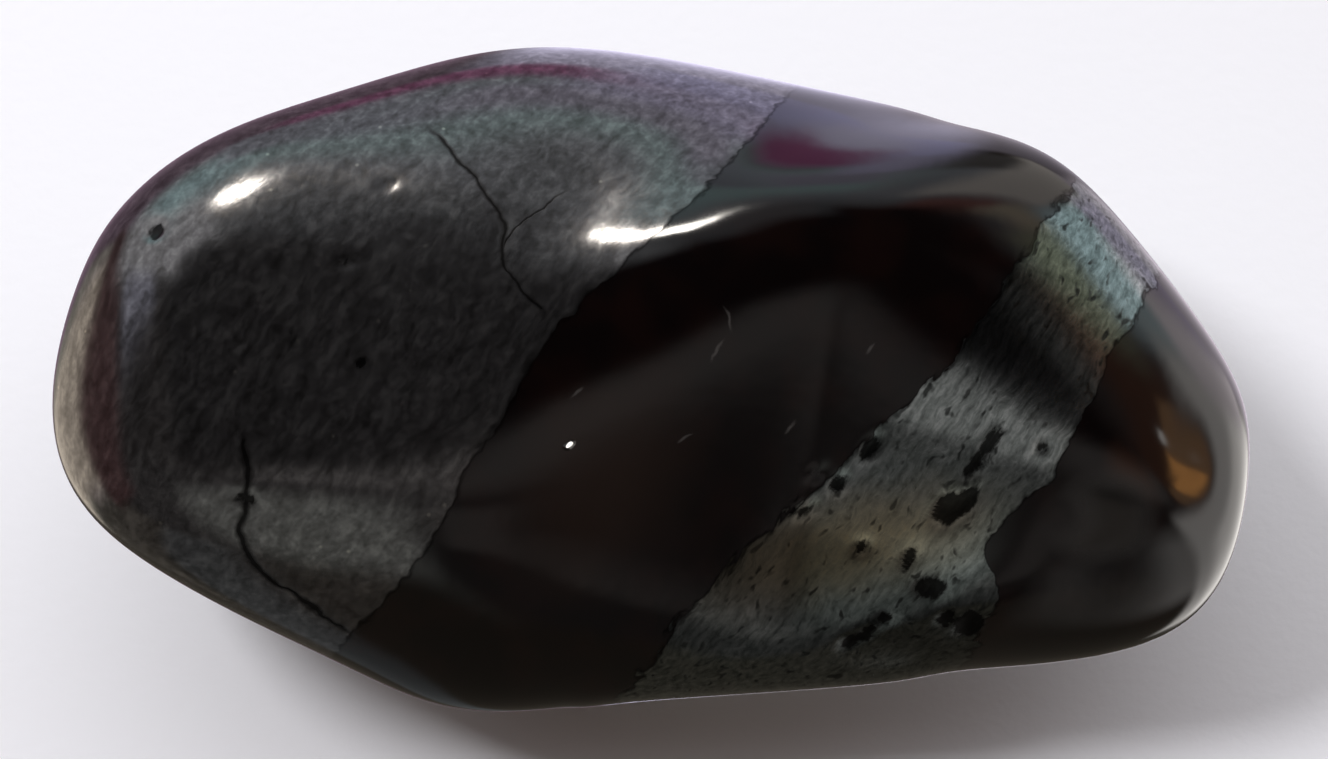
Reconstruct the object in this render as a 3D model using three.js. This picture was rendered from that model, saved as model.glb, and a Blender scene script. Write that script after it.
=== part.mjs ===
// A tumbled stone: one solid pebble of banded ironstone, about 33 mm long.
//
// The stone is two rounded lobes grown together. Each lobe is the space inside a few ground faces,
// and tumbling has rounded the edges between them. The stone is longest along X and lies tipped
// about X on a small flat spot. Lengths are in millimetres and angles in degrees.
import * as THREE from 'three';
import { mergeVertices } from 'three/addons/utils/BufferGeometryUtils.js';

// Height of the stone's middle above the flat spot that it rests on.
const REST_DEPTH = 6.6;

// How far the girdle, the stone's widest section, is tipped from level towards the near side.
const GIRDLE_TIP = 15;

// Half sizes of an oval that is close to the stone: they spread the grid's cells evenly.
const GRID_SPREAD = new THREE.Vector3(17, 9.6, 6.5);

// Cells along each side of the grid's six patches.
const GRID_CELLS = 24;

// How sharply the two lobes meet in the valley between them.
const LOBE_JOIN = 30;

// A face that a direction only grazes has no say in how far the stone reaches that way.
const GRAZING = 1e-4;

// Rounds of Newton's method: the reach no longer changes after these.
const SETTLING_ROUNDS = 8;

// Colour and finish of the polished surface.
const STONE_COLOUR = 0x3b3335;
const STONE_ROUGHNESS = 0.22;
const STONE_METALNESS = 0.25;

const radians = THREE.MathUtils.degToRad;

// A face of the girdle: its bearing counterclockwise from +X, its lift from the girdle towards the
// crown, its distance from the stone's middle, and the crispness of its edges.
function girdleFace(bearing, lift, reach, crispness) {
  const level = Math.cos(radians(lift));
  const normal = new THREE.Vector3(
    level * Math.cos(radians(bearing)),
    level * Math.sin(radians(bearing)),
    Math.sin(radians(lift)),
  );
  return { normal, reach, crispness };
}

// A face of the crown: it passes through a point of the girdle's own X, Y and height, and leans
// towards +X and +Y by two angles.
function crownFace(x, y, height, leanX, leanY, crispness) {
  const normal = new THREE.Vector3(Math.tan(radians(leanX)), Math.tan(radians(leanY)), 1).normalize();
  return { normal, reach: normal.dot(new THREE.Vector3(x, y, height)), crispness };
}

// A swell (rise above 0) or a hollow (below 0): its middle, its rise, its length, width and
// thickness, and how far its length is turned from +X.
function wear(x, y, height, rise, length, width, thickness, turn) {
  const along = new THREE.Vector3(Math.cos(radians(turn)), Math.sin(radians(turn)), 0);
  const across = new THREE.Vector3(-along.y, along.x, 0);
  return { middle: new THREE.Vector3(x, y, height), rise, length, width, thickness, along, across };
}

// The faces under the girdle, which both lobes share.
const UNDERSIDE = {
  underFar: girdleFace(90, -83, 6.75, 8),
  underNear: girdleFace(-90, -53, 7.35, 8),
  underRight: girdleFace(-30, -62, 8.7, 8),
  underLeft: girdleFace(-150, -62, 8.9, 8),
  lowerFarSide: girdleFace(90, -48, 9.0, 9),
  lowerNearSide: girdleFace(-92, -25, 10.2, 10),
};

// The left lobe, the larger one, has a broad plateau on top.
const LEFT_LOBE = {
  leftEnd: girdleFace(180, -4, 17.4, 24),
  farLeftCorner: girdleFace(153, 0, 15.6, 22),
  farLeftSide: girdleFace(113, 0, 11.0, 15),
  farSide: girdleFace(90, 0, 10.3, 13),
  farMiddleSide: girdleFace(75, 0, 9.4, 14),
  innerEnd: girdleFace(0, 10, 8.2, 12),
  nearMiddleSide: girdleFace(-83, -5, 9.35, 14),
  nearSide: girdleFace(-101, -5, 10.6, 15),
  nearLeftSide: girdleFace(-118, 0, 11.6, 17),
  nearLeftCorner: girdleFace(-146, 0, 15.7, 16),
  nearBrow: girdleFace(-92, 34, 8.6, 12),
  nearLeftBrow: girdleFace(-112, 32, 11.2, 14),
  nearFlank: girdleFace(-86, 54, 7.1, 13),
  plateau: crownFace(-9.3, 1.4, 5.95, -1, 6, 17),
  nearSlope: crownFace(-9.3, -3.0, 6.4, -3, -25, 14),
  scoopSlope: crownFace(-5.0, -1.6, 6.2, 11, -16, 17),
  farFlank: crownFace(-5.9, 4.6, 5.5, -1, 38, 16),
  farMiddleFlank: crownFace(1.0, 6.0, 4.7, 14, 50, 13),
  leftShoulder: crownFace(-14.7, 1.4, 4.7, -35, 5, 20),
  leftFoot: girdleFace(180, -45, 13.8, 11),
  ...UNDERSIDE,
};

// The right lobe is lower, and its crest lies close to the far side.
const RIGHT_LOBE = {
  innerEnd: girdleFace(180, 10, 2.4, 11),
  innerCrest: crownFace(2.4, 4.7, 5.4, -12, 14, 16),
  farSide: girdleFace(82, 0, 8.6, 18),
  farRightCorner: girdleFace(58, 0, 11.7, 22),
  farRightSide: girdleFace(38, 0, 13.2, 26),
  rightEnd: girdleFace(-8, 0, 17.0, 22),
  nearRightCorner: girdleFace(-50, -3, 15.8, 18),
  nearSide: girdleFace(-88, -5, 8.95, 15),
  nearBrow: girdleFace(-86, 34, 8.0, 12),
  top: crownFace(10.4, 1.4, 5.25, 7, 4, 14),
  scoopSlope: crownFace(11.0, -1.7, 5.15, -7, -13.5, 17),
  nearSlope: crownFace(11.5, -4.6, 4.5, 8, -28, 13),
  farShoulder: crownFace(7.8, 5.0, 5.2, 8, 38, 17),
  farMiddleFlank: crownFace(3.0, 5.7, 4.9, -14, 60, 14),
  farFlank: crownFace(7.8, 6.6, 4.2, 2, 70, 15),
  rightShoulder: crownFace(13.8, 2.3, 3.7, 30, 20, 14),
  rightFoot: girdleFace(0, -45, 13.8, 11),
  ...UNDERSIDE,
};

const LOBES = [Object.values(LEFT_LOBE), Object.values(RIGHT_LOBE)];

// Tumbling left one swell on the near side and three worn hollows on the crown.
const WEAR = {
  nearSwell: wear(-5.3, -9.0, -0.6, 0.6, 2.3, 2.0, 2.4, -12),
  crestDip: wear(-1.6, 5.0, 5.2, -0.55, 3.0, 1.5, 2.5, 0),
  rightDimple: wear(12.2, -4.0, 4.2, -0.35, 1.3, 1.5, 3.0, 0),
  endDimple: wear(15.0, -2.6, 2.8, -0.3, 0.8, 1.6, 3.0, 10),
};

// How far one lobe reaches along a direction, as a logarithm. Each face adds the reach over its own
// plane's, raised to its crispness, and the surface is where these add up to one: flat in the
// middle of a face, and rounded where two faces meet.
function lobeReach(faces, direction) {
  const pulls = faces.map((face) => Math.log(Math.max(direction.dot(face.normal), GRAZING) / face.reach));
  let reach = -Math.max(...pulls);
  for (let round = 0; round < SETTLING_ROUNDS; round += 1) {
    let total = 0;
    let slope = 0;
    faces.forEach((face, index) => {
      const term = Math.exp(face.crispness * (reach + pulls[index]));
      total += term;
      slope += term * face.crispness;
    });
    reach -= (Math.log(total) * total) / slope;
  }
  return reach;
}

// The rise of the surface at a point from all the swells and hollows, each a smooth bell.
function wearAt(point) {
  let rise = 0;
  for (const mark of Object.values(WEAR)) {
    const offset = point.clone().sub(mark.middle);
    const spread = new THREE.Vector3(
      offset.dot(mark.along) / mark.length,
      offset.dot(mark.across) / mark.width,
      offset.z / mark.thickness,
    );
    rise += mark.rise * Math.exp(-spread.lengthSq() / 2);
  }
  return rise;
}

// Distance from the stone's middle to its surface along a unit vector of the stone as it rests.
function surfaceDistance(direction) {
  const untipped = direction.clone().applyAxisAngle(new THREE.Vector3(1, 0, 0), -radians(GIRDLE_TIP));
  const reaches = LOBES.map((faces) => lobeReach(faces, untipped));
  const farthest = Math.max(...reaches);
  const joined = reaches.reduce((sum, reach) => sum + Math.exp(LOBE_JOIN * (reach - farthest)), 0);
  const distance = Math.exp(farthest + Math.log(joined) / LOBE_JOIN);
  return distance + wearAt(untipped.multiplyScalar(distance));
}

// The place on the surface along a direction, no lower than the flat spot.
function surfacePoint(direction) {
  const distance = surfaceDistance(direction);
  const drop = -direction.z * distance;
  const kept = drop > REST_DEPTH ? REST_DEPTH / drop : 1;
  const point = direction.clone().multiplyScalar(distance * kept);
  point.z = Math.max(point.z, -REST_DEPTH);
  return point;
}

// A box's grid carried out to the surface: a closed skin of even cells with no poles.
function stoneGeometry() {
  const box = new THREE.BoxGeometry(2, 2, 2, GRID_CELLS, GRID_CELLS, GRID_CELLS);
  box.deleteAttribute('normal');
  box.deleteAttribute('uv');
  const geometry = mergeVertices(box);
  const places = geometry.getAttribute('position');
  const direction = new THREE.Vector3();
  for (let index = 0; index < places.count; index += 1) {
    direction.fromBufferAttribute(places, index);
    // The tangent evens out the cells between the middle and the edge of each patch.
    direction.set(...direction.toArray().map((value) => Math.tan((value * Math.PI) / 4)));
    const point = surfacePoint(direction.normalize().multiply(GRID_SPREAD).normalize());
    places.setXYZ(index, point.x, point.y, point.z);
  }
  geometry.computeVertexNormals();
  return geometry;
}

// The stone stands with its origin under the middle of its outline, on the surface it rests on.
function makeStone() {
  const geometry = stoneGeometry();
  geometry.computeBoundingBox();
  const middle = geometry.boundingBox.getCenter(new THREE.Vector3());
  const material = new THREE.MeshStandardMaterial({
    color: STONE_COLOUR,
    roughness: STONE_ROUGHNESS,
    metalness: STONE_METALNESS,
  });
  const stone = new THREE.Mesh(geometry, material);
  stone.name = 'stone';
  stone.position.set(-middle.x, -middle.y, REST_DEPTH);
  return stone;
}

const group = new THREE.Group();
group.add(makeStone());

export default group;
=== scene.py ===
"""A polished tumbled pebble of banded ironstone, about 33 mm long, lying on plain white card.

The pebble is one closed surface. Its form is the CAD part's, worked out again on a finer grid so
that the polish reflects smoothly, with the slight swells and the pits of the real stone added. Its
material draws the layers that cross the stone: granular grey hematite, glassy dark jasper, a pale
pitted hematite band, and jasper again at the right end. The polish mirrors a room that is painted
by direction. Lengths are in millimetres until a mesh is made. Places are in the girdle's frame:
from the stone's middle, +X runs to the right end and +Y to the far side along the girdle, which is
the stone's widest section, and +Z stands on it.
"""

import logging
import math
from dataclasses import dataclass
from enum import Enum

import bpy
import numpy as np
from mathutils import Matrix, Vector


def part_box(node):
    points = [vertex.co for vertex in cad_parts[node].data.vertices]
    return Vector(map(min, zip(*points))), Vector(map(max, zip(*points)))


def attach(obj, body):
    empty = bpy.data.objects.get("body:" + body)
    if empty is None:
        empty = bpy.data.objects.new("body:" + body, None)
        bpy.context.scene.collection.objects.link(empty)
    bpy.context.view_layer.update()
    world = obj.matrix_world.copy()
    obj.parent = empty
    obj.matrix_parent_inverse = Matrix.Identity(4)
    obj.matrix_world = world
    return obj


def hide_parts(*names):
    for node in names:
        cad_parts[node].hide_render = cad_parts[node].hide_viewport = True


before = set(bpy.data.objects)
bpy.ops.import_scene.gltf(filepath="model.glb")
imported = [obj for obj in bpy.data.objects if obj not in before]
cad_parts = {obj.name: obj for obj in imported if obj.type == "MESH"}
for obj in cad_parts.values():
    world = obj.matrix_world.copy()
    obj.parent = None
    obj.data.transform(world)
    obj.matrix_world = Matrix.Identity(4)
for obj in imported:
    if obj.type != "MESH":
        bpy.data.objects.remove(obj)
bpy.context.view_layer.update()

MM = 0.001

# How far the girdle is tipped from level towards the near side.
GIRDLE_TIP = math.radians(15)

log = logging.getLogger("tumbled_stone")

Socket = bpy.types.NodeSocket
Colour = tuple[float, float, float, float]


def linear(code: str, strength: float = 1.0) -> Colour:
    """Turns an sRGB hex colour to linear light.

    Args:
        code: the colour as "#rrggbb".
        strength: what the linear values are multiplied by.

    Returns:
        The linear colour with an alpha of one.
    """
    values = [int(code[at:at + 2], 16) / 255 for at in (1, 3, 5)]
    light = [v / 12.92 if v <= 0.04045 else ((v + 0.055) / 1.055) ** 2.4 for v in values]
    return (*(v * strength for v in light), 1.0)


def add(tree: bpy.types.NodeTree, kind: str, inputs: dict | list | None = None,
        out: int | str | None = 0, points: list[tuple[float, float]] | None = None,
        stops: list[tuple[float, Colour]] | None = None,
        **settings: object) -> Socket | bpy.types.Node:
    """Adds a shader node with its settings and links.

    Args:
        tree: the node tree that the node goes into.
        kind: the node's type without the word ShaderNode.
        inputs: a socket or a value for each input, by name, or by place where it is a list.
        out: the output that is handed back.
        points: the points of a curve node, both values from 0 to 1.
        stops: the places and colours of a colour ramp.
        settings: the node's own settings.

    Returns:
        The node's output socket, or the node itself where out is None.
    """
    node = tree.nodes.new("ShaderNode" + kind)
    for name, value in settings.items():
        setattr(node, name, value)
    if points:
        curve = node.mapping.curves[0].points
        for place, level in points[1:-1]:
            curve.new(place, level)
        curve[0].location, curve[len(curve) - 1].location = points[0], points[-1]
        node.mapping.update()
    for number, (place, colour) in enumerate(stops or []):
        ramp = node.color_ramp.elements
        stop = ramp[number] if number < len(ramp) else ramp.new(place)
        stop.position, stop.color = place, colour
    for place, value in inputs.items() if isinstance(inputs, dict) else enumerate(inputs or []):
        if isinstance(value, Socket):
            tree.links.new(value, node.inputs[place])
        elif value is not None:
            node.inputs[place].default_value = value
    return node if out is None else node.outputs[out]


@dataclass(frozen=True)
class GroundFace:
    """A face that tumbling ground: its outward normal, its reach from the middle, its crispness."""

    normal: tuple[float, float, float]
    reach: float
    crispness: float


def girdle_face(bearing: float, lift: float, reach: float, crispness: float) -> GroundFace:
    """Gives a face of the girdle, the stone's widest section.

    Args:
        bearing: degrees counterclockwise from +X.
        lift: degrees from the girdle towards the crown.
        reach: distance from the stone's middle.
        crispness: how sharp the face's edges are.

    Returns:
        The face.
    """
    turn, rise = math.radians(bearing), math.radians(lift)
    level = math.cos(rise)
    return GroundFace((level * math.cos(turn), level * math.sin(turn), math.sin(rise)), reach, crispness)


def crown_face(x: float, y: float, height: float, lean_x: float, lean_y: float,
               crispness: float) -> GroundFace:
    """Gives a face of the crown that passes through a point.

    Args:
        x: its place along the girdle.
        y: its place across the girdle.
        height: its height above the girdle.
        lean_x: degrees that the face leans towards +X.
        lean_y: degrees that the face leans towards +Y.
        crispness: how sharp the face's edges are.

    Returns:
        The face.
    """
    normal = np.array([math.tan(math.radians(lean_x)), math.tan(math.radians(lean_y)), 1.0])
    normal /= np.linalg.norm(normal)
    return GroundFace(tuple(normal), float(normal @ (x, y, height)), crispness)


@dataclass(frozen=True)
class Wear:
    """A swell (rise above 0) or a hollow (below 0) of the surface, a smooth bell round its middle."""

    x: float
    y: float
    height: float
    rise: float
    length: float
    width: float
    thickness: float
    turn: float = 0.0

    def rise_at(self, points: np.ndarray) -> np.ndarray:
        """Works out the rise: its full height times e to minus half the squared distance in spreads.

        Args:
            points: places in the girdle's frame, one to a row.

        Returns:
            The rise at each place.
        """
        turn = math.radians(self.turn)
        off = points - (self.x, self.y, self.height)
        along = (off[:, 0] * math.cos(turn) + off[:, 1] * math.sin(turn)) / self.length
        across = (off[:, 1] * math.cos(turn) - off[:, 0] * math.sin(turn)) / self.width
        return self.rise * np.exp(-0.5 * (along ** 2 + across ** 2 + (off[:, 2] / self.thickness) ** 2))


# The faces under the girdle, which both lobes share.
UNDERSIDE = [
    girdle_face(90, -83, 6.75, 8),
    girdle_face(-90, -53, 7.35, 8),
    girdle_face(-30, -62, 8.7, 8),
    girdle_face(-150, -62, 8.9, 8),
    girdle_face(90, -48, 9.0, 9),
    girdle_face(-92, -25, 10.2, 10),
]

# The left lobe, the larger one, has a broad plateau on top.
LEFT_LOBE = UNDERSIDE + [
    girdle_face(180, -4, 17.4, 24),
    girdle_face(153, 0, 15.6, 22),
    girdle_face(113, 0, 11.0, 15),
    girdle_face(90, 0, 10.3, 13),
    girdle_face(75, 0, 9.4, 14),
    girdle_face(0, 10, 8.2, 12),
    girdle_face(-83, -5, 9.35, 14),
    girdle_face(-101, -5, 10.6, 15),
    girdle_face(-118, 0, 11.6, 17),
    girdle_face(-146, 0, 15.7, 16),
    girdle_face(-92, 34, 8.6, 12),
    girdle_face(-112, 32, 11.2, 14),
    girdle_face(-86, 54, 7.1, 13),
    crown_face(-9.3, 1.4, 5.95, -1, 6, 17),
    crown_face(-9.3, -3.0, 6.4, -3, -25, 14),
    crown_face(-5.0, -1.6, 6.2, 11, -16, 17),
    crown_face(-5.9, 4.6, 5.5, -1, 38, 16),
    crown_face(1.0, 6.0, 4.7, 14, 50, 13),
    crown_face(-14.7, 1.4, 4.7, -35, 5, 20),
    girdle_face(180, -45, 13.8, 11),
]

# The right lobe is lower, and its crest lies close to the far side.
RIGHT_LOBE = UNDERSIDE + [
    girdle_face(180, 10, 2.4, 11),
    crown_face(2.4, 4.7, 5.4, -12, 14, 16),
    girdle_face(82, 0, 8.6, 18),
    girdle_face(58, 0, 11.7, 22),
    girdle_face(38, 0, 13.2, 26),
    girdle_face(-8, 0, 17.0, 22),
    girdle_face(-50, -3, 15.8, 18),
    girdle_face(-88, -5, 8.95, 15),
    girdle_face(-86, 34, 8.0, 12),
    crown_face(10.4, 1.4, 5.25, 7, 4, 14),
    crown_face(11.0, -1.7, 5.15, -7, -13.5, 17),
    crown_face(11.5, -4.6, 4.5, 8, -28, 13),
    crown_face(7.8, 5.0, 5.2, 8, 38, 17),
    crown_face(3.0, 5.7, 4.9, -14, 60, 14),
    crown_face(7.8, 6.6, 4.2, 2, 70, 15),
    crown_face(13.8, 2.3, 3.7, 30, 20, 14),
    girdle_face(0, -45, 13.8, 11),
]

# What tumbling did to the faces, as in the CAD part: a swell on the near side and three hollows.
GROUND_WEAR = [
    Wear(-5.3, -9.0, -0.6, 0.6, 2.3, 2.0, 2.4, -12),
    Wear(-1.6, 5.0, 5.2, -0.55, 3.0, 1.5, 2.5),
    Wear(12.2, -4.0, 4.2, -0.35, 1.3, 1.5, 3.0),
    Wear(15.0, -2.6, 2.8, -0.3, 0.8, 1.6, 3.0, 10),
]

# Slight swells and hollows of the crown, too low for the CAD part: they give the lamp's two streaks
# and the soft light on the near side their outlines.
SLIGHT_SWELLS = [
    Wear(-11.1, 6.2, 5.1, 0.35, 4.3, 1.6, 2.5, 72),
    Wear(-9.8, 4.5, 5.1, -0.40, 4.3, 1.1, 2.5, -11),
    Wear(-14.3, 3.0, 5.1, 0.36, 3.2, 3.1, 2.5, 70),
    Wear(1.2, 4.0, 5.1, 0.16, 2.0, 1.2, 2.5, -7),
    Wear(-3.7, 4.0, 5.1, -0.06, 2.3, 1.6, 2.5, -88),
    Wear(-13.25, 3.91, 5.0, -0.05, 0.40, 0.34, 0.6),
    Wear(-6.0, -4.0, 5.2, 0.24, 2.2, 1.3, 2.5),
]

# Pits that the tumbler's polish didn't reach. Most lie in the pale band, drawn out along its grain.
PITS = [
    Wear(5.87, -1.86, 4.48, -0.10, 0.30, 0.15, 0.5, 54),
    Wear(4.99, -2.85, 4.17, -0.08, 0.22, 0.14, 0.5, 55),
    Wear(4.45, -2.55, 4.21, -0.05, 0.22, 0.16, 0.5, 40),
    Wear(8.41, -3.42, 4.36, -0.12, 0.42, 0.17, 0.5, 50),
    Wear(7.90, -3.50, 4.30, -0.11, 0.32, 0.15, 0.5, 62),
    Wear(8.71, -2.35, 4.66, -0.07, 0.36, 0.15, 0.5, 48),
    Wear(9.15, -1.60, 4.84, -0.07, 0.40, 0.16, 0.5, 52),
    Wear(7.58, -5.76, 3.57, -0.11, 0.28, 0.22, 0.5, 5),
    Wear(8.03, -6.62, 3.10, -0.09, 0.22, 0.14, 0.5, 60),
    Wear(8.71, -6.80, 2.89, -0.12, 0.32, 0.25, 0.5, 45),
    Wear(6.98, -4.92, 3.81, -0.08, 0.28, 0.15, 0.5, 62),
    Wear(5.67, -4.60, 3.78, -0.07, 0.18, 0.14, 0.5, 60),
    Wear(4.09, -3.60, 3.96, -0.06, 0.24, 0.13, 0.5, 40),
    Wear(10.56, -1.86, 4.87, -0.08, 0.17, 0.13, 0.5, 50),
    Wear(5.89, -7.05, 2.84, -0.08, 0.21, 0.14, 0.5, 58),
    Wear(5.40, -7.32, 2.66, -0.09, 0.20, 0.14, 0.5, 50),
    Wear(6.37, -6.62, 3.11, -0.07, 0.17, 0.14, 0.5, 50),
    Wear(-13.25, 3.91, 5.03, -0.13, 0.15, 0.13, 0.6, 60),
    Wear(-7.40, 5.40, 4.86, -0.035, 0.20, 0.13, 0.5, 35),
    Wear(-8.48, 3.20, 5.65, -0.05, 0.26, 0.20, 0.5, 20),
    Wear(-9.60, 1.20, 5.95, -0.04, 0.30, 0.20, 0.5, 70),
    Wear(-7.90, 0.45, 6.06, -0.07, 0.16, 0.14, 0.5, 60),
    Wear(-11.0, -3.20, 5.81, -0.07, 0.13, 0.24, 0.5, 80),
]


@dataclass
class Stone:
    """The pebble: two rounded lobes grown together, tipped on a small flat spot."""

    # Height of the stone's middle above the flat spot that it rests on.
    rest_depth: float = 6.6

    # Half sizes of an oval close to the stone, which spread the cells evenly, the cells along each
    # side of the grid's six squares, and how far the grid is pulled up.
    spread: tuple[float, float, float] = (17.0, 9.6, 6.5)
    cells: int = 128
    crown_pull: float = 0.4

    # How sharply the lobes meet, the least say that a face has in a direction that grazes it, and
    # the rounds of Newton's method after which the reach no longer changes.
    lobe_join: float = 30.0
    grazing: float = 1e-4
    settling_rounds: int = 8

    # The depth at which a pit counts as wholly inside, where its dirt is.
    pit_floor: float = 0.07

    def lobe_reach(self, faces: list[GroundFace], directions: np.ndarray) -> np.ndarray:
        """Works out how far one lobe reaches along each direction.

        Each face adds the reach over its own plane's, raised to its crispness, and the surface is
        where these add up to one, which Newton's method finds.

        Args:
            faces: the lobe's faces.
            directions: unit vectors in the girdle's frame, one to a row.

        Returns:
            The logarithm of the reach along each.
        """
        normals = np.array([face.normal for face in faces])
        crisp = np.array([face.crispness for face in faces], float)
        pulls = np.log(np.maximum(directions @ normals.T, self.grazing) / [face.reach for face in faces])
        reach = -pulls.max(axis=1)
        for _ in range(self.settling_rounds):
            terms = np.exp(crisp * (reach[:, None] + pulls))
            total = terms.sum(axis=1)
            reach -= np.log(total) * total / (terms @ crisp)
        return reach

    def surface(self, directions: np.ndarray) -> tuple[np.ndarray, np.ndarray]:
        """Works out the surface: the smooth larger of the lobes, then its wear, pits and flat spot.

        Args:
            directions: unit vectors of the stone as it rests, one to a row.

        Returns:
            The surface's place along each, and how deep in a pit it is, from 0 to 1.
        """
        cos, sin = math.cos(GIRDLE_TIP), math.sin(GIRDLE_TIP)
        untip = np.array([[1, 0, 0], [0, cos, sin], [0, -sin, cos]])
        own = directions @ untip.T
        reaches = np.stack([self.lobe_reach(faces, own) for faces in (LEFT_LOBE, RIGHT_LOBE)])
        farthest = reaches.max(axis=0)
        joined = np.exp(self.lobe_join * (reaches - farthest)).sum(axis=0)
        distance = np.exp(farthest + np.log(joined) / self.lobe_join)
        places = own * distance[:, None]
        distance = distance + sum(mark.rise_at(places) for mark in GROUND_WEAR + SLIGHT_SWELLS)
        sunk = sum(pit.rise_at(places) for pit in PITS)
        distance = distance + sunk
        drop = -directions[:, 2] * distance
        grounded = distance * self.rest_depth / np.maximum(drop, self.grazing)
        distance = np.where(drop > self.rest_depth, grounded, distance)
        return directions * distance[:, None], np.clip(-sunk / self.pit_floor, 0, 1)

    def grid(self) -> tuple[np.ndarray, np.ndarray]:
        """Lays a closed grid of even cells over all directions.

        Each side of a cube carries a square grid, and the tangent evens its cells out. Grid points
        are counted in whole steps, so those that two sides share are one. All are then pulled up
        a little, which makes the cells finer on the crown, where the pits are.

        Returns:
            Unit vectors, one to a row, and the four corners of each cell, outward.
        """
        n = self.cells
        step = np.arange(n)
        a, b = [v.ravel() for v in np.meshgrid(step, step, indexing="ij")]
        corners = np.stack([np.stack([a + i, b + j], -1) for i, j in ((0, 0), (1, 0), (1, 1), (0, 1))], 1)
        quads = []
        for axis in range(3):
            for side, order in ((n, [0, 1, 2, 3]), (0, [3, 2, 1, 0])):
                cube = np.empty(corners.shape[:2] + (3,), int)
                cube[..., axis] = side
                cube[..., (axis + 1) % 3] = corners[:, order, 0]
                cube[..., (axis + 2) % 3] = corners[:, order, 1]
                quads.append(cube)
        cubes = np.concatenate(quads)
        keys = (cubes[..., 0] * (n + 1) + cubes[..., 1]) * (n + 1) + cubes[..., 2]
        unique, first, index = np.unique(keys.ravel(), return_index=True, return_inverse=True)
        lattice = cubes.reshape(-1, 3)[first]
        directions = np.tan((lattice / n * 2 - 1) * math.pi / 4)
        directions /= np.linalg.norm(directions, axis=1, keepdims=True)
        directions[:, 2] += self.crown_pull
        directions *= self.spread
        directions /= np.linalg.norm(directions, axis=1, keepdims=True)
        return directions, index.reshape(keys.shape)

    def build(self) -> tuple[bpy.types.Object, np.ndarray]:
        """Makes the mesh, standing where the CAD node stands.

        Returns:
            The object, and where the formula's middle lies in the row frame in millimetres.
        """
        directions, quads = self.grid()
        points, depth = self.surface(directions)
        low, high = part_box("stone")
        middle = (points.min(axis=0) + points.max(axis=0)) / 2
        wanted = np.array([(low[i] + high[i]) / 2 / MM for i in range(2)])
        shift = np.array([wanted[0] - middle[0], wanted[1] - middle[1], self.rest_depth])
        mesh = bpy.data.meshes.new("polished_stone")
        mesh.from_pydata((points + shift) * MM, [], quads)
        mesh.polygons.foreach_set("use_smooth", np.ones(len(quads), bool))
        pits = mesh.attributes.new("pit", "FLOAT", "POINT")
        pits.data.foreach_set("value", depth.astype(np.float32))
        mesh.update()
        mesh.validate()
        piece = bpy.data.objects.new("polished_stone", mesh)
        bpy.context.collection.objects.link(piece)
        log.info("polished_stone: %d points, %d cells", len(points), len(quads))
        return piece, shift


@dataclass(frozen=True)
class Mark:
    """A soft-edged oval on the crown: its middle, half sizes, turn in degrees and softness."""

    x: float
    y: float
    half_length: float
    half_width: float
    turn: float
    soft: float


@dataclass(frozen=True)
class Hematite:
    """Tumble-polished granular hematite, an ore with a metal's lustre.

    It gives a dark grey sheen that its grains break up. Where cracks and pits are, black polishing
    dirt is left in it, which is dull.
    """

    dark: Colour = linear("#4c4a49")
    middle: Colour = linear("#626060")
    bright: Colour = linear("#7a7877")
    # Pale grey painted on sparse spots: a painted highlight where grains catch the light.
    painted_glint: Colour = linear("#a8a49c")
    dirt: Colour = linear("#121010")

    # Length and width of its lumps, how many grains there are to a millimetre, and the share that
    # the grains have beside the lumps.
    lump: tuple[float, float] = (0.8, 0.3)
    grains_per_mm: float = 5.5
    grain_share: float = 0.35

    # Radius of the painted glints, pale spots where grains catch the light, from middle to edge.
    painted_glint_span: tuple[float, float] = (0.03, 0.07)
    metallic: float = 0.92
    metallic_spread: float = 0.015
    roughness: float = 0.13
    dirt_roughness: float = 0.3
    dirt_share: float = 0.93


@dataclass(frozen=True)
class PaleHematite:
    """Polished fibrous hematite: silvery as a metal is, with fibres, a tan stain and small pits."""

    dark: Colour = linear("#848a89")
    middle: Colour = linear("#b9c1c0")
    bright: Colour = linear("#eaf1f1")
    tan: Colour = linear("#f7dfb3")
    tan_zone: Mark = Mark(5.1, -4.6, 3.4, 1.1, 14, 0.8)

    # Length and width of its fibres, and of the small pits drawn out along them.
    fibre: tuple[float, float] = (1.6, 0.16)
    small_pit: tuple[float, float] = (0.6, 0.24)

    # Painted light and shade: the band's mirror colour is scaled along the band, from its near end to its far
    # one, brightest in the middle of the crown. Places are measured along the direction given next.
    painted_light: tuple[tuple[float, float], ...] = (
        (-16.0, 0.31), (-6.2, 0.31), (-4.6, 0.18), (-3.6, 0.2), (-2.6, 0.34), (-1.7, 0.53), (-0.3, 0.5),
        (0.6, 0.42), (1.1, 0.48), (1.6, 0.94), (2.9, 1.0), (3.5, 0.62), (4.8, 0.31), (16.0, 0.31))
    painted_light_way: tuple[float, float, float] = (0.35, 1.0, 0.0)
    metallic: float = 0.998
    roughness: float = 0.15


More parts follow.
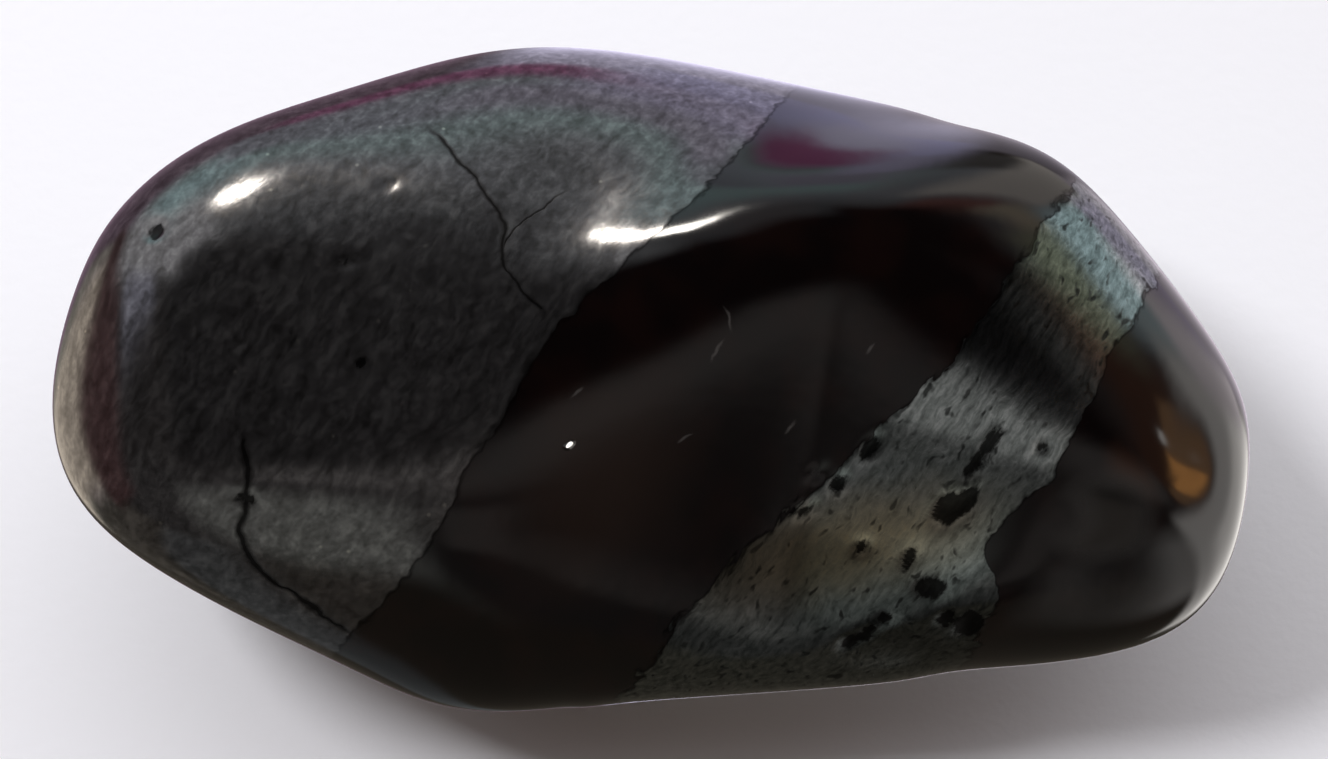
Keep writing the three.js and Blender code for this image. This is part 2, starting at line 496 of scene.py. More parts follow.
@dataclass(frozen=True)
class Jasper:
    """Polished dark jasper, a fine-grained quartz: near black and glassy.

    Its deep red shows only in strong light, so what the eye sees on it is mostly the room. A few
    scratches of the tumbler are on it, and one chip, whose flat face catches the lamp.
    """

    body: Colour = linear("#060303")
    red: Colour = linear("#0d0504")
    haze: Colour = linear("#1a110d")
    haze_zone: Mark = Mark(-1.5, -2.9, 2.6, 1.7, 55, 0.8)
    scratch: Colour = linear("#4a4745")
    scratch_share: float = 0.6
    scratches: tuple[Mark, ...] = tuple(Mark(x, y, half_length, 0.035, turn, 0.9)
                                        for x, y, half_length, turn in (
        (1.90, 1.60, 0.25, 110), (1.66, 0.75, 0.22, 60), (3.67, -1.33, 0.15, 50),
        (0.80, -1.57, 0.17, 30), (-2.06, -0.37, 0.15, 45), (5.77, 0.83, 0.13, 50)))

    # The chip, its height above the girdle, and how its face rises along each axis.
    chip: Mark = Mark(-2.37, -1.67, 0.17, 0.11, 50, 0.3)
    chip_height: float = 5.61
    chip_rise: tuple[float, float, float] = (0.33, -1.0, -0.30)
    roughness: float = 0.085
    end_roughness: float = 0.105
    ior: float = 1.54


@dataclass(frozen=True)
class OreLens:
    """A thin lens of polished grey ore in the jasper of the right end, with an iron stain beside it."""

    ash: Colour = linear("#403e3c")
    zone: Mark = Mark(12.2, -3.75, 1.25, 1.05, 12, 0.45)
    bare_zone: Mark = Mark(10.9, -3.7, 0.9, 0.7, 0, 0.7)
    amber: Colour = linear("#24140c")
    amber_zone: Mark = Mark(12.95, -2.55, 0.75, 0.38, -50, 0.8)
    metallic: float = 0.95


@dataclass(frozen=True)
class Card:
    """Smooth white card: matt, with a faint tooth of the given width and height."""

    white: Colour = linear("#fafafc")
    roughness: float = 0.85
    tooth_width: float = 0.4
    tooth_height: float = 0.02


class Seam(Enum):
    """Where one layer ends.

    Each has half the width of the change, how far the streaks fray it, and its distance across the
    layers at places along them.
    """

    ORE_TO_JASPER = (0.10, 0.35, (
        (-16.0, -1.2), (-10.5, -1.35), (-8.2, -1.3), (-5.9, -1.8), (-3.7, -2.35), (-0.8, -2.85),
        (1.5, -2.8), (3.7, -2.6), (5.8, -2.6), (8.0, -2.7), (16.0, -2.8)))
    JASPER_TO_PALE = (0.12, 0.7, (
        (-16.0, 5.5), (-6.4, 5.35), (-4.4, 5.0), (-2.1, 5.0), (1.0, 5.2), (3.2, 5.4), (5.4, 5.5),
        (8.1, 5.2), (10.7, 4.85), (16.0, 4.8)))
    PALE_TO_JASPER = (0.10, 0.6, (
        (-16.0, 12.6), (0.0, 11.8), (1.3, 11.3), (2.2, 10.8), (2.7, 9.75), (3.8, 9.65), (5.8, 9.6),
        (7.8, 8.8), (9.1, 8.5), (16.0, 8.2)))


class Crack(Enum):
    """The cracks on the crown: each has its width, and its places along X at places along Y."""

    LONG = (0.09, ((1.6, -3.0), (2.5, -3.55), (3.5, -4.2), (4.3, -4.15), (4.9, -4.45), (6.0, -5.4),
                   (6.9, -6.2)))
    BRANCH = (0.05, ((3.4, -4.25), (4.0, -3.9), (4.5, -3.2), (5.1, -2.5)))
    LOWER = (0.12, ((-7.1, -8.2), (-6.9, -8.5), (-6.1, -9.6), (-5.3, -10.7), (-4.7, -11.1),
                    (-3.2, -11.0), (-1.4, -11.0)))


@dataclass
class IronstonePattern:
    """Draws the stone's layers, grains, pits and cracks in a material's node tree."""

    middle: np.ndarray
    hematite: Hematite = Hematite()
    pale: PaleHematite = PaleHematite()
    jasper: Jasper = Jasper()
    lens: OreLens = OreLens()

    # How far the layers, and the fibres in them, are turned from +X.
    layer_turn: float = math.radians(47)
    fibre_turn: float = math.radians(58)

    # The length that a curve node's whole width stands for.
    curve_span: float = 40.0

    # How wide the waves are that bend every edge, and how far they carry it.
    waves_per_mm: float = 0.9
    wave_reach: float = 0.55

    # Length and width of the streaks that fray the layers' edges.
    fray_streak: tuple[float, float] = (1.6, 0.32)

    # Marks and cracks of the crown fade out over these heights above the girdle.
    mark_fade: tuple[float, float] = (0.0, 1.5)
    crack_fade: tuple[float, float] = (0.5, 1.5)

    # Shares of its width at which a crack is whole and gone, and how far its ends taper out and in.
    crack_edge: tuple[float, float] = (0.3, 1.4)
    crack_taper: tuple[float, float] = (0.2, 0.3)

    # Heights of the polished relief: on the ore's lumps, on the jasper and on the pale fibres, and
    # how deep the cracks are. Hard grains stand a few thousandths of a millimetre proud.
    ore_relief: float = 0.002
    jasper_relief: float = 0.006
    pale_relief: float = 0.003
    crack_depth: float = 0.0015

    def __post_init__(self) -> None:
        """Makes the material, and the coordinates, noises and layers that its parts share."""
        self.material = bpy.data.materials.new("polished_banded_ironstone")
        self.material.use_nodes = True
        self.tree = self.material.node_tree
        self.tree.nodes.clear()
        cos, sin = math.cos(GIRDLE_TIP), math.sin(GIRDLE_TIP)
        x, y, z = self.middle
        self.places = self.add("Mapping", {
            "Vector": self.add("TexCoord", out="Object"),
            "Location": (-x, -(y * cos + z * sin), y * sin - z * cos),
            "Rotation": (-GIRDLE_TIP, 0, 0),
            "Scale": (1 / MM,) * 3,
        })
        drift = self.add("TexNoise", {"Vector": self.places, "Scale": self.waves_per_mm, "Detail": 3.0},
                         "Color")
        drift = self.add("VectorMath", [drift, (0.5, 0.5, 0.5)], operation="SUBTRACT")
        self.warped = self.add("VectorMath", [drift, (self.wave_reach,) * 3, self.places],
                               operation="MULTIPLY_ADD")
        self.layers, self.fibres = (
            self.add("Mapping", {"Vector": self.warped, "Rotation": (0, 0, turn), "Scale": (1, -1, 1)})
            for turn in (self.layer_turn, self.fibre_turn))
        self.fray = self.add("Math", [self.streaks(*self.fray_streak, 2.0), 0.5], operation="SUBTRACT")
        self.lumps = self.streaks(*self.hematite.lump, 2.0)
        self.grains = self.add("TexNoise", {"Vector": self.places, "Scale": self.hematite.grains_per_mm,
                                            "Detail": 3.0, "Roughness": 0.6})
        self.grain_mix = self.add("Mix", {0: self.hematite.grain_share, 2: self.lumps, 3: self.grains})
        self.fibre_mix = self.add("Mix", {0: 0.25, 2: self.streaks(*self.pale.fibre, 4.0), 3: self.grains})

        self.glassy = self.past(Seam.ORE_TO_JASPER)
        self.silver = self.past(Seam.JASPER_TO_PALE)
        self.glassy_end = self.past(Seam.PALE_TO_JASPER)

    def add(self, kind: str, inputs: dict | list | None = None, out: int | str | None = 0,
            **settings: object) -> Socket | bpy.types.Node:
        """Adds a node to this pattern's tree, as the function of the same name does."""
        return add(self.tree, kind, inputs, out, **settings)

    def on_curve(self, millimetres: float) -> float:
        """Turns a length to the curves' scale, on which the stone's middle is at 0.5."""
        return millimetres / self.curve_span + 0.5

    def laid_on_curve(self, millimetres: Socket) -> Socket:
        """Turns a length that varies over the stone to the curves' scale."""
        return self.add("Math", [millimetres, 1 / self.curve_span, 0.5], operation="MULTIPLY_ADD")

    def streaks(self, length: float, width: float, detail: float = 3.0) -> Socket:
        """Gives noise drawn out along the fibres.

        Args:
            length: how long its streaks are.
            width: how wide they are.
            detail: how many finer octaves it has.

        Returns:
            The noise, mostly between 0.3 and 0.7.
        """
        drawn = self.add("VectorMath", [self.fibres, (1 / length, 1 / width, 1 / width)],
                         operation="MULTIPLY")
        return self.add("TexNoise", {"Vector": drawn, "Scale": 1.0, "Detail": detail, "Roughness": 0.6})

    def disc(self, mark: Mark) -> Socket:
        """Gives an oval mark: its distance from its middle over its radius, faded at its edge.

        Args:
            mark: the mark.

        Returns:
            One inside and zero outside, and zero below the crown.
        """
        moved = self.add("VectorMath", [self.warped, (mark.x, mark.y, 0)], operation="SUBTRACT")
        lain = self.add("Mapping", {"Vector": moved, "Rotation": (0, 0, -math.radians(mark.turn))})
        sized = self.add("VectorMath", [lain, (1 / mark.half_length, 1 / mark.half_width, 0)],
                         operation="MULTIPLY")
        reach = self.add("VectorMath", [sized], "Value", operation="LENGTH")
        height = self.add("SeparateXYZ", [self.places], "Z")
        hidden = self.add("MapRange", [height, *self.mark_fade, 9.0, 0.0])
        reach = self.add("Math", [reach, hidden], operation="ADD")
        return self.add("MapRange", [reach, 1 - mark.soft, 1 + mark.soft, 1.0, 0.0],
                        interpolation_type="SMOOTHSTEP")

    def past(self, seam: Seam) -> Socket:
        """Tells how far a point is past a seam, whose edge the streaks of the layers fray.

        Args:
            seam: the seam.

        Returns:
            One past the seam and zero before it.
        """
        soft, fray, line = seam.value
        parts = self.add("SeparateXYZ", [self.layers], None).outputs
        edge = self.add("FloatCurve", {"Value": self.laid_on_curve(parts["X"])},
                        points=[(self.on_curve(along), self.on_curve(across)) for along, across in line])
        gap = self.add("Math", [self.laid_on_curve(parts["Y"]), edge], operation="SUBTRACT")
        frayed = self.add("Math", [self.fray, fray / self.curve_span, gap], operation="MULTIPLY_ADD")
        half = soft / self.curve_span
        return self.add("MapRange", [frayed, -half, half, 0.0, 1.0], interpolation_type="SMOOTHSTEP")

    def crack(self, crack: Crack) -> Socket:
        """Gives a crack's line, which fades out at both of its ends.

        Args:
            crack: the crack.

        Returns:
            One on its line and zero away from it.
        """
        width, line = crack.value
        whole, gone = (share * width / self.curve_span for share in self.crack_edge)
        parts = self.add("SeparateXYZ", [self.warped], None).outputs
        middle = self.add("FloatCurve", {"Value": self.laid_on_curve(parts["Y"])},
                          points=[(self.on_curve(y), self.on_curve(x)) for y, x in line])
        away = self.add("Math", [self.laid_on_curve(parts["X"]), middle], operation="SUBTRACT")
        away = self.add("Math", [away], operation="ABSOLUTE")
        mask = self.add("MapRange", [away, whole, gone, 1.0, 0.0])
        first, last = line[0][0], line[-1][0]
        out, inward = self.crack_taper
        for value, start, end in ((parts["Y"], first - out, first + inward),
                                  (parts["Y"], last + out, last - inward),
                                  (parts["Z"], *self.crack_fade)):
            shown = self.add("MapRange", [value, start, end, 0.0, 1.0])
            mask = self.add("Math", [mask, shown], operation="MULTIPLY")
        return mask

    def ore(self) -> Socket:
        """Gives the granular hematite's colour: greys by its grains, and sparse painted glints."""
        ore = self.add("ValToRGB", [self.grain_mix], stops=[
            (0.34, self.hematite.dark), (0.50, self.hematite.middle), (0.66, self.hematite.bright)])
        # Sparse pale spots painted over the grains: painted highlights, glints of grains.
        painted_glints = self.add("TexVoronoi", {"Vector": self.places, "Scale": 1.0}, "Distance")
        painted_glint = self.add("MapRange", [painted_glints, *self.hematite.painted_glint_span, 0.5, 0.0])
        return self.add("Mix", {0: painted_glint, 6: ore, 7: self.hematite.painted_glint}, 2, data_type="RGBA")

    def pale_band(self) -> Socket:
        """Gives the pale band's colour: three fibre greys, tan stain, painted light and shade along it."""
        silvery = self.add("ValToRGB", [self.fibre_mix], stops=[
            (0.33, self.pale.dark), (0.48, self.pale.middle), (0.66, self.pale.bright)])
        tan = self.add("MapRange", [self.fibre_mix, 0.3, 0.7, 0.4, 1.0])
        tan = self.add("Math", [self.disc(self.pale.tan_zone), tan], operation="MULTIPLY")
        silvery = self.add("Mix", {0: tan, 6: silvery, 7: self.pale.tan}, 2, data_type="RGBA")
        # Painted light and shade: scales the mirror colour along the band, lighter and darker in places.
        place = self.add("VectorMath", [self.warped, self.pale.painted_light_way], "Value", operation="DOT_PRODUCT")
        painted_light = self.add("FloatCurve", {"Value": self.laid_on_curve(place)},
                         points=[(self.on_curve(along), level) for along, level in self.pale.painted_light])
        return self.add("VectorMath", {"Vector": silvery, "Scale": painted_light}, operation="SCALE")

    def dark_glass(self) -> Socket:
        """Gives the jasper's colour: near black, with red clouds, a brown haze and scratches."""
        blotch = self.add("TexNoise", {"Vector": self.warped, "Scale": 0.6, "Detail": 2.0})
        clouds = self.add("MapRange", [blotch, 0.45, 0.68, 0.0, 1.0])
        scratches = 0.0
        for mark in self.jasper.scratches:
            scratches = self.add("Math", [scratches, self.disc(mark)], operation="MAXIMUM")
        scratches = self.add("Math", [scratches, self.jasper.scratch_share], operation="MULTIPLY")
        glass = self.jasper.body
        for share, colour in ((clouds, self.jasper.red), (self.disc(self.jasper.haze_zone), self.jasper.haze),
                              (scratches, self.jasper.scratch)):
            glass = self.add("Mix", {0: share, 6: glass, 7: colour}, 2, data_type="RGBA")
        return glass

    def right_end(self, glass: Socket) -> tuple[Socket, Socket]:
        """Lays the lens of grey ore and the amber stain over the right end's jasper.

        Args:
            glass: the jasper's colour.

        Returns:
            The right end's colour, and how metallic it is.
        """
        lens = self.add("Mix", {0: self.disc(self.lens.bare_zone), 2: self.disc(self.lens.zone), 3: 0.0})
        amber = self.disc(self.lens.amber_zone)
        end = self.add("Mix", {0: amber, 6: glass, 7: self.lens.amber}, 2, data_type="RGBA")
        end = self.add("Mix", {0: lens, 6: end, 7: self.lens.ash}, 2, data_type="RGBA")
        return end, self.add("Math", [lens, self.lens.metallic], operation="MULTIPLY")

    def layered(self) -> tuple[Socket, Socket]:
        """Joins the four layers.

        At a seam the dark colour and the metal overlap, so that no pale rim without metal shows.

        Returns:
            The stone's colour, and how metallic it is.
        """
        early, late = (0.0, 0.6), (0.4, 1.0)
        colour = self.ore()
        spread = self.hematite.metallic_spread
        metallic = self.add("MapRange", [self.grain_mix, 0.35, 0.65, self.hematite.metallic + spread,
                                         self.hematite.metallic - spread])
        glass = self.dark_glass()
        end, end_metal = self.right_end(glass)
        for mask, layer, metal, colour_span, metal_span in (
            (self.glassy, glass, 0.0, early, late),
            (self.silver, self.pale_band(), self.pale.metallic, late, early),
            (self.glassy_end, end, end_metal, early, late),
        ):
            shown = self.add("MapRange", [mask, *colour_span, 0.0, 1.0])
            colour = self.add("Mix", {0: shown, 6: colour, 7: layer}, 2, data_type="RGBA")
            shown = self.add("MapRange", [mask, *metal_span, 0.0, 1.0])
            metallic = self.add("Mix", {0: shown, 2: metallic, 3: metal})
        return colour, metallic

    def dirt(self, cracks: Socket) -> Socket:
        """Finds where dark polishing dirt is left: in the mesh's pits, small pits and cracks.

        Args:
            cracks: one on the cracks.

        Returns:
            How much dirt there is, from 0 to the finish's dirt_share.
        """
        small = self.add("MapRange", [self.streaks(*self.pale.small_pit, 1.0), 0.62, 0.72, 0.0, 0.8])
        band = self.add("Math", [self.silver, self.glassy_end], operation="SUBTRACT")
        small = self.add("Math", [small, band], operation="MULTIPLY")
        pit = self.add("Attribute", out="Fac", attribute_name="pit")
        ragged = self.add("Math", [self.streaks(0.5, 0.2), 1.3, pit], operation="MULTIPLY_ADD")
        hollow = self.add("MapRange", [ragged, 0.95, 1.4, 0.0, 1.0], interpolation_type="SMOOTHSTEP")
        hollow = self.add("Math", [hollow, small], operation="MAXIMUM")
        dirt = self.add("Math", [hollow, cracks], operation="MAXIMUM")
        return self.add("Math", [dirt, self.hematite.dirt_share], operation="MULTIPLY")

    def roughness(self, dirt: Socket) -> Socket:
        """Gives each layer's polish, broken by the grains on the ore and dull on the dirt.

        Args:
            dirt: how much dirt there is.

        Returns:
            The roughness.
        """
        rough = self.add("MapRange", [self.grains, 0.35, 0.65, self.hematite.roughness + 0.03,
                                      self.hematite.roughness - 0.02])
        for mask, level in ((self.glassy, self.jasper.roughness), (self.silver, self.pale.roughness),
                            (self.glassy_end, self.jasper.end_roughness),
                            (dirt, self.hematite.dirt_roughness)):
            rough = self.add("Mix", {0: mask, 2: rough, 3: level})
        return rough

    def relief(self, cracks: Socket) -> Socket:
        """Gives the height of the polished relief, with the chip's flat face and the cracks in it.

        Args:
            cracks: one on the cracks.

        Returns:
            The height in millimetres.
        """
        slow = self.add("TexNoise", {"Vector": self.places, "Scale": 0.8})
        relief = 0.0
        for mask, noise, height in (
            (1.0, self.lumps, self.ore_relief), (self.glassy, slow, self.jasper_relief),
            (self.silver, self.fibre_mix, self.pale_relief), (self.glassy_end, slow, self.jasper_relief),
        ):
            level = self.add("Math", [noise, 0.5], operation="SUBTRACT")
            level = self.add("Math", [level, height], operation="MULTIPLY")
            relief = self.add("Mix", {0: mask, 2: relief, 3: level})
        chip = self.jasper.chip
        face = self.add("VectorMath", [self.places, (chip.x, chip.y, self.jasper.chip_height)],
                        operation="SUBTRACT")
        face = self.add("VectorMath", [face, self.jasper.chip_rise], "Value", operation="DOT_PRODUCT")
        face = self.add("Math", [face, self.disc(chip)], operation="MULTIPLY")
        relief = self.add("Math", [face, relief], operation="ADD")
        sunk = self.add("Math", [cracks, self.crack_depth], operation="MULTIPLY")
        return self.add("Math", [relief, sunk], operation="SUBTRACT")

    def dress(self) -> bpy.types.Material:
        """Joins the layers, pits and cracks in one shader.

        Returns:
            The material.
        """
        cracks = self.crack(Crack.LONG)
        for crack in (Crack.BRANCH, Crack.LOWER):
            cracks = self.add("Math", [cracks, self.crack(crack)], operation="MAXIMUM")
        dirt = self.dirt(cracks)
        colour, metallic = self.layered()
        colour = self.add("Mix", {0: dirt, 6: colour, 7: self.hematite.dirt}, 2, data_type="RGBA")
        normal = self.add("Bump", {"Height": self.relief(cracks), "Distance": MM, "Strength": 1.0})
        shader = self.add("BsdfPrincipled", {
            "Base Color": colour, "Metallic": metallic, "Roughness": self.roughness(dirt),
            "IOR": self.jasper.ior, "Normal": normal})
        self.add("OutputMaterial", {"Surface": shader}, None)
        return self.material


@dataclass(frozen=True)
class Patch:
    """A part of the room that the polish mirrors, in an sRGB colour times a strength.

    Angles are in degrees as seen from the stone: across is from the camera to the right, up from
    the camera to the far side, lift from the horizon, and bearing from the far side to the right.
    """

    code: str
    strength: float = 1.0
    across: tuple[float, float] | None = None
    up: tuple[float, float] | None = None
    lift: tuple[float, float] | None = None
    bearing: tuple[float, float] | None = None
    soft: float = 4.0


# The room as the polish shows it, each patch painted over those before it.
ROOM = (
    # The dim near side, and pale things there that light the ore and the band.
    Patch("#3c3836", lift=(3, 64), bearing=(-152, -91)),
    Patch("#4b4948", up=(-80, -20)),
    Patch("#a6a9a4", across=(-38, 2), up=(-86, -35), soft=7),
    Patch("#86817e", across=(9, 21), up=(-56, -36), soft=3),
    Patch("#9c9794", 0.85, across=(10, 40), up=(-31, -18)),
    Patch("#9a9795", 0.7, across=(-14, 9), up=(-27, -17), soft=2.5),
    Patch("#2c2a29", across=(24, 100), up=(-100, -34), soft=6),
    # The card in the stone's shade.
    Patch("#4f4a42", lift=(-95, 2), soft=5),
    Patch("#6c6f70", lift=(-95, 2), bearing=(-164, -146), soft=3),
    # The far wall, palest low down.
    Patch("#8c9094", lift=(4, 95), bearing=(-58, 69), soft=5),
    Patch("#c0c6ce", lift=(4, 40), bearing=(-58, 69), soft=8),
    Patch("#d8f6f7", lift=(6, 31), bearing=(-50, 11), soft=6),
    Patch("#d8d4ea", lift=(8, 22), bearing=(-5, 10)),
    Patch("#fff6ee", 1.2, lift=(-14, 36), bearing=(20, 46)),
    # The lit card on the left and on the far side.
    Patch("#6e6960", lift=(-60, 2), bearing=(-142, -104)),
    Patch("#b5b0a4", lift=(-60, 2), bearing=(-108, -60)),
    Patch("#d8cbc4", lift=(-30, -8), bearing=(-110, -68), soft=5),
    Patch("#fff0dc", 1.3, lift=(-60, -5), bearing=(-104, -72), soft=5),
    Patch("#957c8e", lift=(-95, 3), bearing=(-62, -8)),
    Patch("#f0e4f0", 1.2, lift=(-95, -8), bearing=(34, 66), soft=5),
    Patch("#b5acb8", lift=(-95, -14), bearing=(8, 34)),
    Patch("#e8e2ff", 1.5, lift=(-95, 1), bearing=(-5, 11)),
    Patch("#e2dcff", 1.25, lift=(-8, 11), bearing=(3.5, 12), soft=2.5),
    Patch("#d8d4ff", 1.6, lift=(-24, -4), bearing=(7, 10.5), soft=2),
    Patch("#82807e", lift=(-8, 12), bearing=(12, 22)),
    # The horizon, from red-brown on the left to magenta.
    Patch("#745050", lift=(-8, 12), bearing=(-120, -56)),
    Patch("#b09cb0", lift=(1, 12), bearing=(-56, -10), soft=5),
    Patch("#d07cb0", lift=(-11, 2), bearing=(-12, 5), soft=3),
    # A pane on the left, brown hangings on the right, and the far right window's top.
    Patch("#d0d3e6", lift=(16, 44), bearing=(-92, -56)),
    Patch("#7e5a4a", lift=(30, 54), bearing=(74, 128), soft=5),
    Patch("#b37c76", lift=(38, 60), bearing=(24, 40), soft=5),
    Patch("#e6d8c0", 1.1, lift=(38, 47), bearing=(38, 58)),
    Patch("#c0c4a8", lift=(38, 52), bearing=(56, 76), soft=5),
    # The far right window, and the bright wall beside it.
    Patch("#f0e2fc", 1.2, lift=(-20, 12), bearing=(44, 66), soft=5),
    Patch("#e2faff", 1.35, lift=(14, 38), bearing=(47, 71)),
    Patch("#fffaf5", 0.8, lift=(-24, 22), bearing=(120, 160), soft=9),
    Patch("#fffaf5", 1.8, lift=(-60, 29), bearing=(70, 142)),
    Patch("#fffaf5", 3.0, lift=(-60, 6), bearing=(70, 128), soft=9),
    # A warm lamp on the right: shade, bulb and gold edge.
    Patch("#f3bc8b", lift=(32, 38), bearing=(84, 127), soft=1.5),
    Patch("#fffaf5", 3.5, lift=(37.5, 40.5), bearing=(96, 100), soft=1),
    Patch("#ffb468", 3.8, lift=(34, 37), bearing=(103.5, 120), soft=1),
    # The bright card between the two.
    Patch("#fff4f8", 2.2, lift=(-30, 19), bearing=(60, 74), soft=5),
    # The dark patch overhead, where the camera hangs.
    Patch("#191718", across=(-38, 28), up=(-18, 47), soft=7),
    Patch("#191718", across=(8, 36), up=(20, 56), soft=5),
    # The far left window, teal below, and the frame at its right.
    Patch("#f2f4f8", 1.1, lift=(8, 60), bearing=(-78, -20), soft=7),
    Patch("#d2f6fa", 1.3, lift=(10, 32), bearing=(-46, -14), soft=8),
    Patch("#c4c8d6", lift=(0, 20.5), bearing=(-20, -5), soft=3),
)


@dataclass(frozen=True)
class Lamp:
    """An oval lamp that faces the stone.

    Its lift and bearing are a room patch's, its distance and its size are in metres, and its power
    is in watts. The polish mirrors it, or else it only lights what is matt.
    """

    name: str
    lift: float
    bearing: float
    distance: float
    size: tuple[float, float]
    power: float
    colour: Colour
    mirrored: bool


@dataclass
class Studio:
    """A soft daylight room: pale walls, a dark patch overhead where the camera hangs, and a lamp.

    Matt surfaces are lit by a plain fill from the far side, and the camera sees a plain backdrop.
    """

    middle: np.ndarray
    lamp: Lamp = Lamp("lamp", 41, -14.5, 0.4, (0.046, 0.038), 0.19, linear("#fffaf0"), True)
    window: Lamp = Lamp("window", 55, -65, 0.3, (0.084, 0.084), 0.47, linear("#fbfbff"), False)
    backdrop: Colour = linear("#dedee2")
    far_fill: Colour = linear("#f8f8fd", 1.65)
    near_fill: Colour = linear("#ffb080", 0.04)

    # Where the near fill turns into the far one, as the far part of a direction.
    fill_turn: tuple[float, float] = (-0.1, 0.6)

    # Half the card's side in metres, and its cells along a side.
    card_half: float = 0.6
    card_cells: int = 12
    room: Colour = linear("#5c5a59")

    def hang(self, lamp: Lamp) -> None:
        """Hangs a lamp so that it faces the stone.

        Args:
            lamp: the lamp.
        """
        rise, turn = math.radians(lamp.lift), math.radians(lamp.bearing)
        away = Vector((math.sin(turn) * math.cos(rise), math.cos(turn) * math.cos(rise), math.sin(rise)))
        data = bpy.data.lights.new(lamp.name, "AREA")
        data.shape = "ELLIPSE"
        data.size, data.size_y = lamp.size
        data.energy = lamp.power
        data.color = lamp.colour[:3]
        hung = bpy.data.objects.new(lamp.name, data)
        bpy.context.collection.objects.link(hung)
        hung.location = Vector(self.middle * MM) + away * lamp.distance
        hung.rotation_euler = away.to_track_quat("Z", "Y").to_euler()
        hung.visible_glossy = lamp.mirrored
        hung.visible_diffuse = not lamp.mirrored
        log.info("%s hangs at %s m", lamp.name, tuple(round(v, 3) for v in hung.location))

    def world(self) -> None:
        """Paints the room by direction, patch over patch, and plain for the camera and soft light.

        A patch is one inside each of its spans of angles and zero outside, with soft edges.
        """
        world = bpy.data.worlds.new("studio_room")
        world.use_nodes = True
        tree = world.node_tree
        tree.nodes.clear()
        away = add(tree, "TexCoord", out="Generated")
        own = add(tree, "Mapping", {"Vector": away, "Rotation": (-GIRDLE_TIP, 0, 0)})
        parts = add(tree, "SeparateXYZ", [own], None).outputs
        level = add(tree, "SeparateXYZ", [away], None).outputs
        angles = {
            "across": add(tree, "Math", [parts["X"], parts["Z"]], operation="ARCTAN2"),
            "up": add(tree, "Math", [parts["Y"], parts["Z"]], operation="ARCTAN2"),
            "lift": add(tree, "Math", [level["Z"]], operation="ARCSINE"),
            "bearing": add(tree, "Math", [level["X"], level["Y"]], operation="ARCTAN2"),
        }
        colour = self.room
        for patch in ROOM:
            mask = 1.0
            for name, angle in angles.items():
                span = getattr(patch, name)
                if span is None:
                    continue
                low, top, soft = (math.radians(edge) for edge in (*span, patch.soft))
                off = add(tree, "Math", [angle, (low + top) / 2], operation="SUBTRACT")
                off = add(tree, "Math", [off], operation="ABSOLUTE")
                half = (top - low) / 2
                inside = add(tree, "MapRange", [off, half - soft, half + soft, 1.0, 0.0],
                             interpolation_type="SMOOTHSTEP")
                mask = add(tree, "Math", [mask, inside], operation="MULTIPLY")
            shown = linear(patch.code, patch.strength)
            colour = add(tree, "Mix", {0: mask, 6: colour, 7: shown}, 2, data_type="RGBA")
        path = add(tree, "LightPath", out=None).outputs
        side = add(tree, "MapRange", [level["Y"], *self.fill_turn, 0.0, 1.0],
                   interpolation_type="SMOOTHSTEP")
        fill = add(tree, "Mix", {0: side, 6: self.near_fill, 7: self.far_fill}, 2, data_type="RGBA")
        for ray, plain in (("Is Diffuse Ray", fill), ("Is Camera Ray", self.backdrop)):
            colour = add(tree, "Mix", {0: path[ray], 6: colour, 7: plain}, 2, data_type="RGBA")
        light = add(tree, "Background", {"Color": colour, "Strength": 1.0})
        add(tree, "OutputWorld", {"Surface": light}, None)
        bpy.context.scene.world = world

    def card_material(self) -> bpy.types.Material:
        """Makes the white card's material.

        Returns:
            The material.
        """
        material = bpy.data.materials.new("smooth_white_card")
        material.use_nodes = True
        tree = material.node_tree
        tree.nodes.clear()
        card = Card()
        place = add(tree, "TexCoord", out="Object")
        tooth = add(tree, "TexNoise", {"Vector": place, "Scale": 1 / (card.tooth_width * MM), "Detail": 3.0})
        normal = add(tree, "Bump", {"Height": tooth, "Distance": card.tooth_height * MM, "Strength": 0.5})
        shader = add(tree, "BsdfPrincipled", {"Base Color": card.white, "Roughness": card.roughness,
                                              "Specular IOR Level": 0.2, "Normal": normal})
        add(tree, "OutputMaterial", {"Surface": shader}, None)
        return material

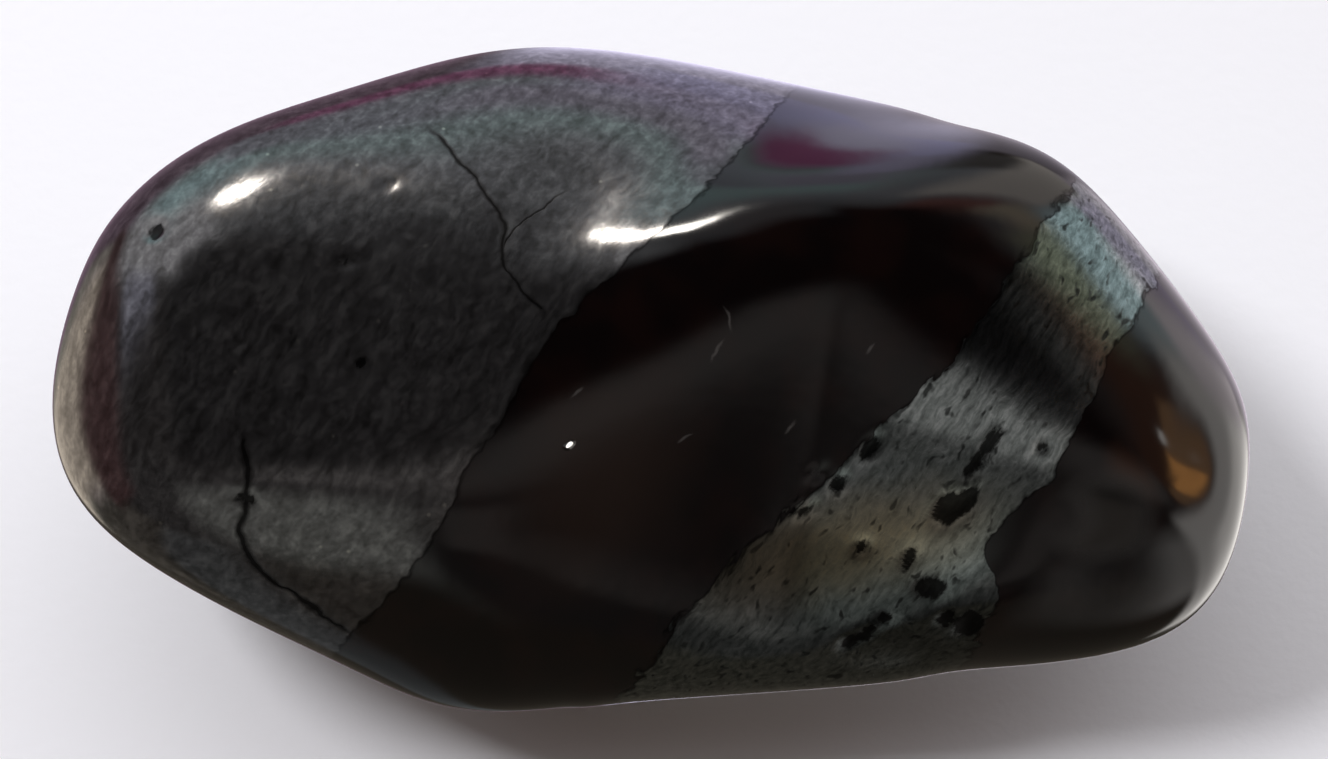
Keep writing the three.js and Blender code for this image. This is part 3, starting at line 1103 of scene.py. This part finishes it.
    def floor(self) -> None:
        """Lays the white card that the stone lies on: a square grid worked out from its two sides."""
        edge = np.linspace(-self.card_half, self.card_half, self.card_cells + 1)
        across, along = np.meshgrid(edge, edge, indexing="ij")
        points = np.stack([across.ravel(), along.ravel(), np.zeros(across.size)], 1)
        step = np.arange(self.card_cells)
        a, b = [v.ravel() for v in np.meshgrid(step, step, indexing="ij")]
        row = self.card_cells + 1
        first = a * row + b
        quads = np.stack([first, first + row, first + row + 1, first + 1], 1)
        mesh = bpy.data.meshes.new("white_card")
        mesh.from_pydata(points, [], quads)
        mesh.materials.append(self.card_material())
        card = bpy.data.objects.new("white_card", mesh)
        bpy.context.collection.objects.link(card)
        card.visible_glossy = False

    def build(self) -> None:
        """Sets up the room, the card, the lamp that the polish mirrors and the broad window light."""
        self.world()
        self.floor()
        self.hang(self.lamp)
        self.hang(self.window)
        bpy.context.scene.view_settings.view_transform = "Standard"


@dataclass
class Camera:
    """The photograph's camera: overhead, square to the girdle, and close.

    Its distance is from the stone's middle, and it shows the given width there.
    """

    middle: np.ndarray
    distance: float = 95.0
    shown_width: float = 37.94
    aside: float = 0.229
    sensor: float = 36.0
    clip_start: float = 5.0

    def build(self) -> None:
        """Makes the camera, with the lens that shows the given width at the given distance."""
        data = bpy.data.cameras.new("camera")
        data.sensor_width = self.sensor
        data.lens = self.sensor * self.distance / self.shown_width
        data.clip_start = self.clip_start * MM
        camera = bpy.data.objects.new("camera", data)
        bpy.context.collection.objects.link(camera)
        back = np.array([0, -math.sin(GIRDLE_TIP), math.cos(GIRDLE_TIP)])
        camera.location = (self.middle + back * self.distance + (self.aside, 0, 0)) * MM
        camera.rotation_euler = (GIRDLE_TIP, 0, 0)
        bpy.context.scene.camera = camera


def main() -> None:
    """Builds the stone, dresses it, and sets up the room and the camera."""
    logging.basicConfig(level=logging.INFO, format="%(message)s")
    piece, middle = Stone().build()
    piece.data.materials.append(IronstonePattern(middle).dress())
    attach(piece, "root")
    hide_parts("stone")
    log.info("ironstone dressed: layers, grains, pits and cracks")
    Studio(middle).build()
    Camera(middle).build()
    log.info("room and camera ready")


if __name__ == "__main__":
    main()
